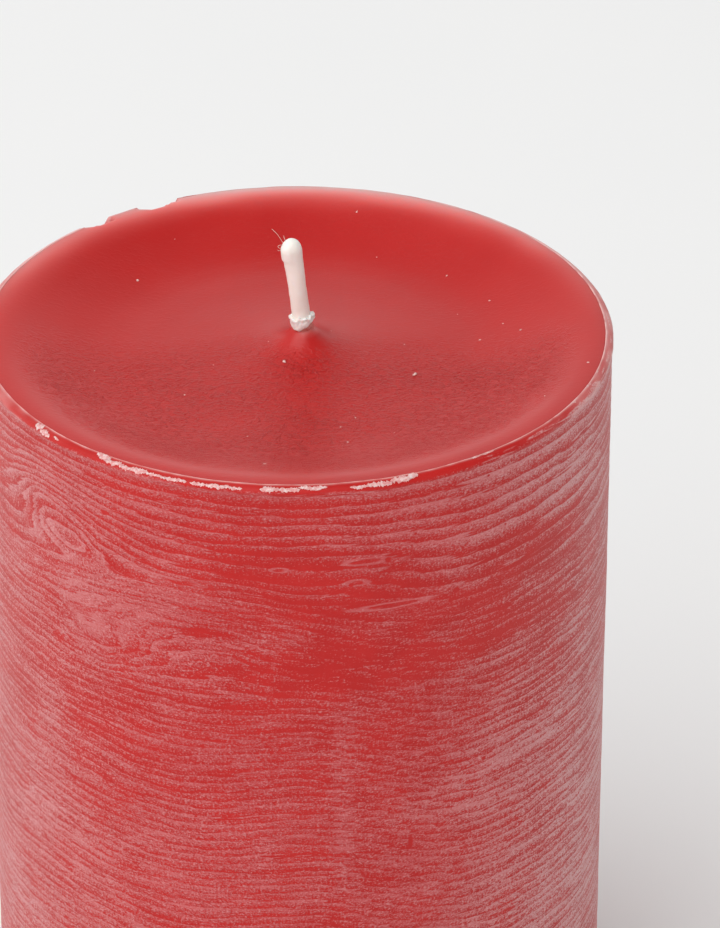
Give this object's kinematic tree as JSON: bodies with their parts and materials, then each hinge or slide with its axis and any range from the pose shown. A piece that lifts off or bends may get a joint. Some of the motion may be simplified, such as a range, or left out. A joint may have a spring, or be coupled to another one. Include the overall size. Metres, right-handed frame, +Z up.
{
  "type": "pillar candle",
  "caption": "Round wax pillar candle with a frosted rustic wall, a bevelled lip, a dished top and one exposed waxed cotton wick.",
  "frame": {"origin": "centre of the base, on the plane the candle stands on", "axes": "+Z up along the axis of the body, towards the wick; -X is the side the free end of the wick leans to"},
  "size_m": [0.07, 0.07, 0.1111],
  "materials": {
    "frosted_wax": "deep red wax with a rough white-pink bloom in wavy level bands",
    "red_wax": "deep red translucent wax, satin with fine wrinkles",
    "wick_cotton": "undyed braided cotton",
    "wick_wax": "off-white primer wax showing the braid",
    "collar_wax": "translucent whitish wax, rough",
    "tinplate": "bright tinplate"
  },
  "bodies": {
    "root": {"outer_wax_shell": "frosted_wax", "inner_wax_core": "red_wax", "wick_braid": "wick_cotton", "wick_wax_coat": "wick_wax", "wick_wax_collar": "collar_wax", "wick_sustainer": "tinplate"}
  },
  "joints": []
}
